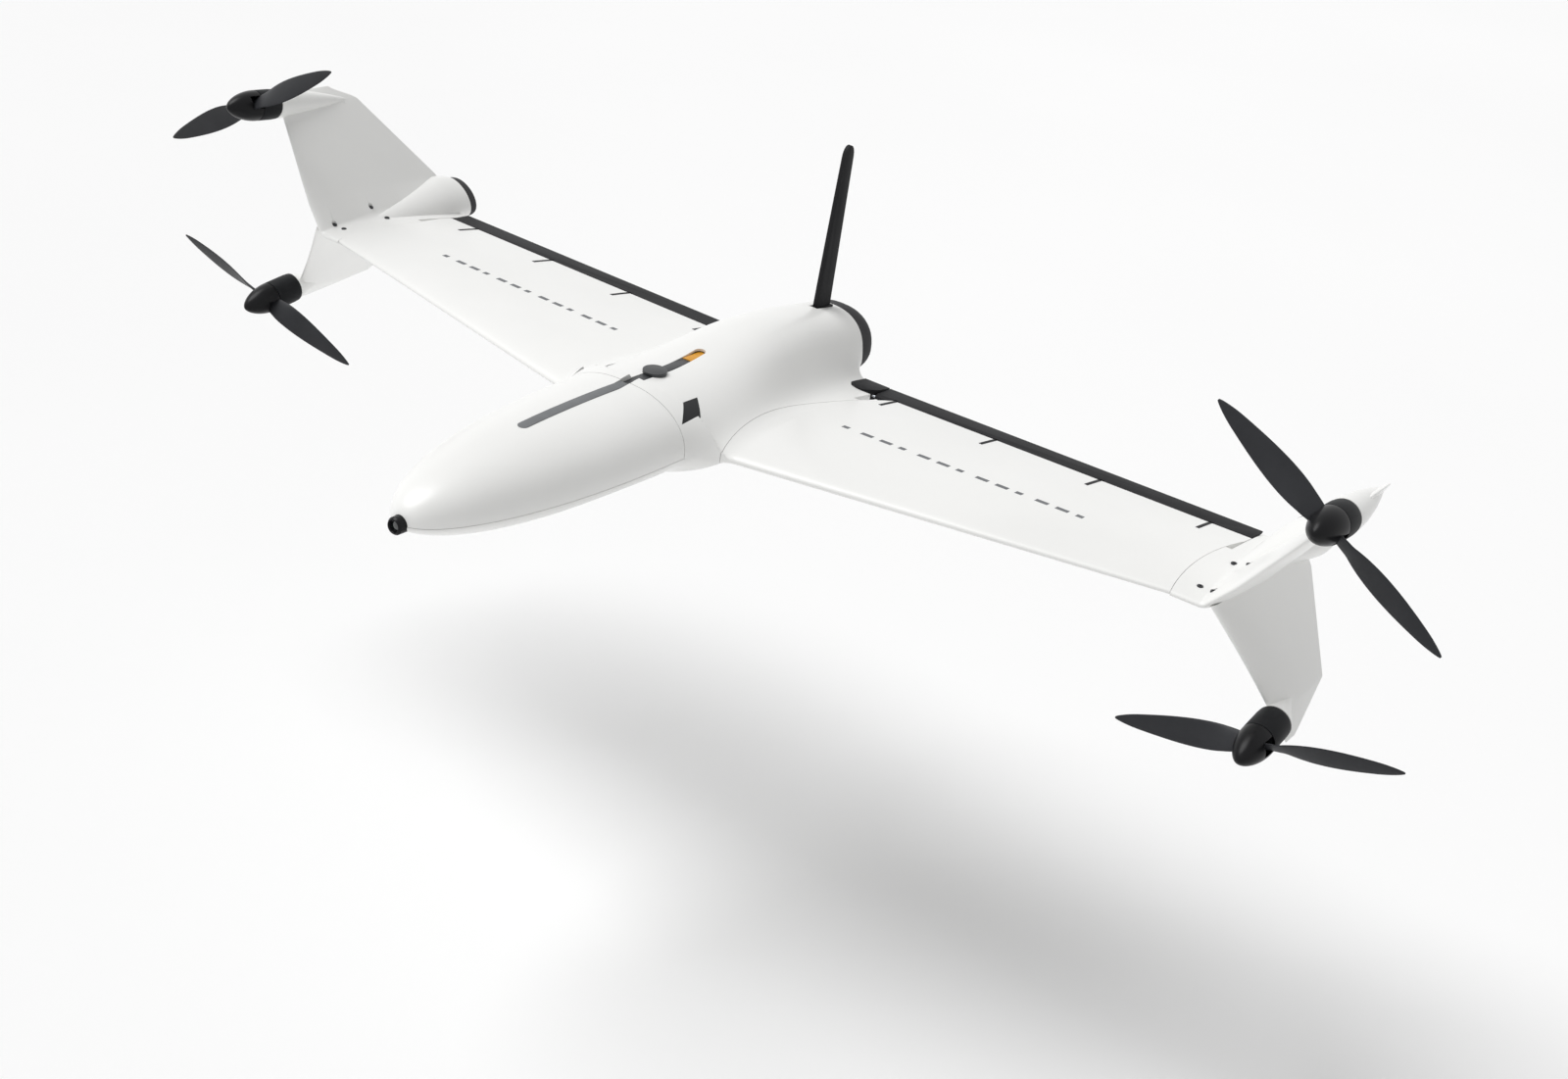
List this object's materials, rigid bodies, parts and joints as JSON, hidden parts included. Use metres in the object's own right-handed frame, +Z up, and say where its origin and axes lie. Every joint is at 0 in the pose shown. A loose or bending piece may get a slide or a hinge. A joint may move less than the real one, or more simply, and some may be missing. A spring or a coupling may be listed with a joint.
{
  "type": "fixed wing drone",
  "caption": "Tail-sitter survey drone: slim body, swept wings with elevons, V-shaped winglets carrying tractor propellers, blade antenna and a lift-off nose cover.",
  "frame": {"origin": "centre of the bounding box at its lowest level, under the body, with the drone in level flight", "axes": "+X along the span, nose towards -Y, +Z up in level flight; left and right in the names mean -X and +X"},
  "size_m": [1.1266, 0.4906, 0.2743],
  "materials": {
    "white_shell": "satin white moulded shell",
    "charcoal_moulding": "matte charcoal moulding",
    "grip_grey": "matte grey grip strip",
    "latch_dark": "matte dark moulding",
    "amber_tab": "satin amber pull tab",
    "steel": "brushed",
    "screw_black": "blackened steel",
    "black_satin": "satin black",
    "dark_glass": "coated lens",
    "smoked_pane": "smoked pane",
    "rubber_black": "matte rubber",
    "carbon": "carbon fibre composite",
    "battery_wrap": "shrink wrap",
    "webbing": "woven strap",
    "lead_red": "silicone insulation",
    "harness_black": "silicone insulation",
    "board_green": "circuit board",
    "copper": "wound stator",
    "aluminium_bell": "machined motor bell",
    "blade_grey": "glass-filled nylon"
  },
  "bodies": {
    "chassis": {"main_hull": "white_shell", "latch_housing": "latch_dark", "latch_pin": "steel", "sensor_barrel": "black_satin", "sensor_lens": "dark_glass", "side_windows": "smoked_pane", "tail_cap": "rubber_black", "antenna_blade": "charcoal_moulding", "antenna_foot": "charcoal_moulding", "camera_body": "latch_dark", "camera_lenses": "dark_glass", "belly_window": "smoked_pane", "belly_pin": "black_satin", "equipment_tray": "carbon", "battery": "battery_wrap", "battery_strap": "webbing", "power_lead": "lead_red", "esc_boards": "board_green", "autopilot": "board_green", "radio_module": "latch_dark", "gps_module": "board_green", "servos": "black_satin", "wing_left": "white_shell", "wing_right": "white_shell", "hinge_tabs": "charcoal_moulding", "root_blocks": "charcoal_moulding", "main_spar": "carbon", "rear_spar": "carbon", "motor_harness": "harness_black", "winglet_left": "white_shell", "winglet_right": "white_shell", "pod_caps": "rubber_black", "tip_screws": "screw_black", "motor_cowls": "black_satin", "motor_stators": "copper"},
    "nose_cover": {"nose_cover": "white_shell", "grip_strip": "grip_grey"},
    "latch_lever": {"latch_lever": "grip_grey", "lever_tab": "amber_tab"},
    "latch_tongue": {"latch_tongue": "latch_dark"},
    "elevon_left": {"elevon_left": "charcoal_moulding", "hinge_pins_left": "steel", "torque_rod_left": "steel"},
    "elevon_right": {"elevon_right": "charcoal_moulding", "hinge_pins_right": "steel", "torque_rod_right": "steel"},
    "rotor_upper_left": {"rotor_upper_left": "aluminium_bell", "prop_upper_left": "blade_grey", "spinner_upper_left": "black_satin"},
    "rotor_upper_right": {"rotor_upper_right": "aluminium_bell", "prop_upper_right": "blade_grey", "spinner_upper_right": "black_satin"},
    "rotor_lower_left": {"rotor_lower_left": "aluminium_bell", "prop_lower_left": "blade_grey", "spinner_lower_left": "black_satin"},
    "rotor_lower_right": {"rotor_lower_right": "aluminium_bell", "prop_lower_right": "blade_grey", "spinner_lower_right": "black_satin"}
  },
  "joints": [
    {"name": "nose_cover_lift", "type": "slide", "parent": "chassis", "child": "nose_cover", "axis": [0, 0, 1], "range_m": [0, 0.1]},
    {"name": "latch_lever_turn", "type": "hinge", "parent": "chassis", "child": "latch_lever", "pos_m": [0, 0.01575, 0.13694], "axis": [1, 0, 0], "range_deg": [0, 70]},
    {"name": "latch_tongue_slide", "type": "slide", "parent": "chassis", "child": "latch_tongue", "axis": [0, 0.999, 0.0444], "range_m": [0, 0.004]},
    {"name": "elevon_left_turn", "type": "hinge", "parent": "chassis", "child": "elevon_left", "pos_m": [-0.071, 0.19165, 0.10018], "axis": [0.9995, -0.0309, 0], "range_deg": [-20, 20]},
    {"name": "elevon_right_turn", "type": "hinge", "parent": "chassis", "child": "elevon_right", "pos_m": [0.071, 0.19165, 0.10018], "axis": [0.9995, 0.0309, 0], "range_deg": [-20, 20]},
    {"name": "rotor_upper_left_spin", "type": "hinge", "parent": "chassis", "child": "rotor_upper_left", "pos_m": [-0.4751, 0.05775, 0.19448], "axis": [0, -0.9982, 0.0593], "continuous": true},
    {"name": "rotor_upper_right_spin", "type": "hinge", "parent": "chassis", "child": "rotor_upper_right", "pos_m": [0.4751, 0.05775, 0.19448], "axis": [0, -0.9982, 0.0593], "continuous": true},
    {"name": "rotor_lower_left_spin", "type": "hinge", "parent": "chassis", "child": "rotor_lower_left", "pos_m": [-0.4631, 0.07345, 0.02948], "axis": [0, -0.986, -0.1668], "continuous": true},
    {"name": "rotor_lower_right_spin", "type": "hinge", "parent": "chassis", "child": "rotor_lower_right", "pos_m": [0.4631, 0.07345, 0.02948], "axis": [0, -0.986, -0.1668], "continuous": true}
  ],
  "couplings": [
    {"joint": "latch_tongue_slide", "follows": "latch_lever_turn", "m_per_rad": 0.0032659}
  ]
}
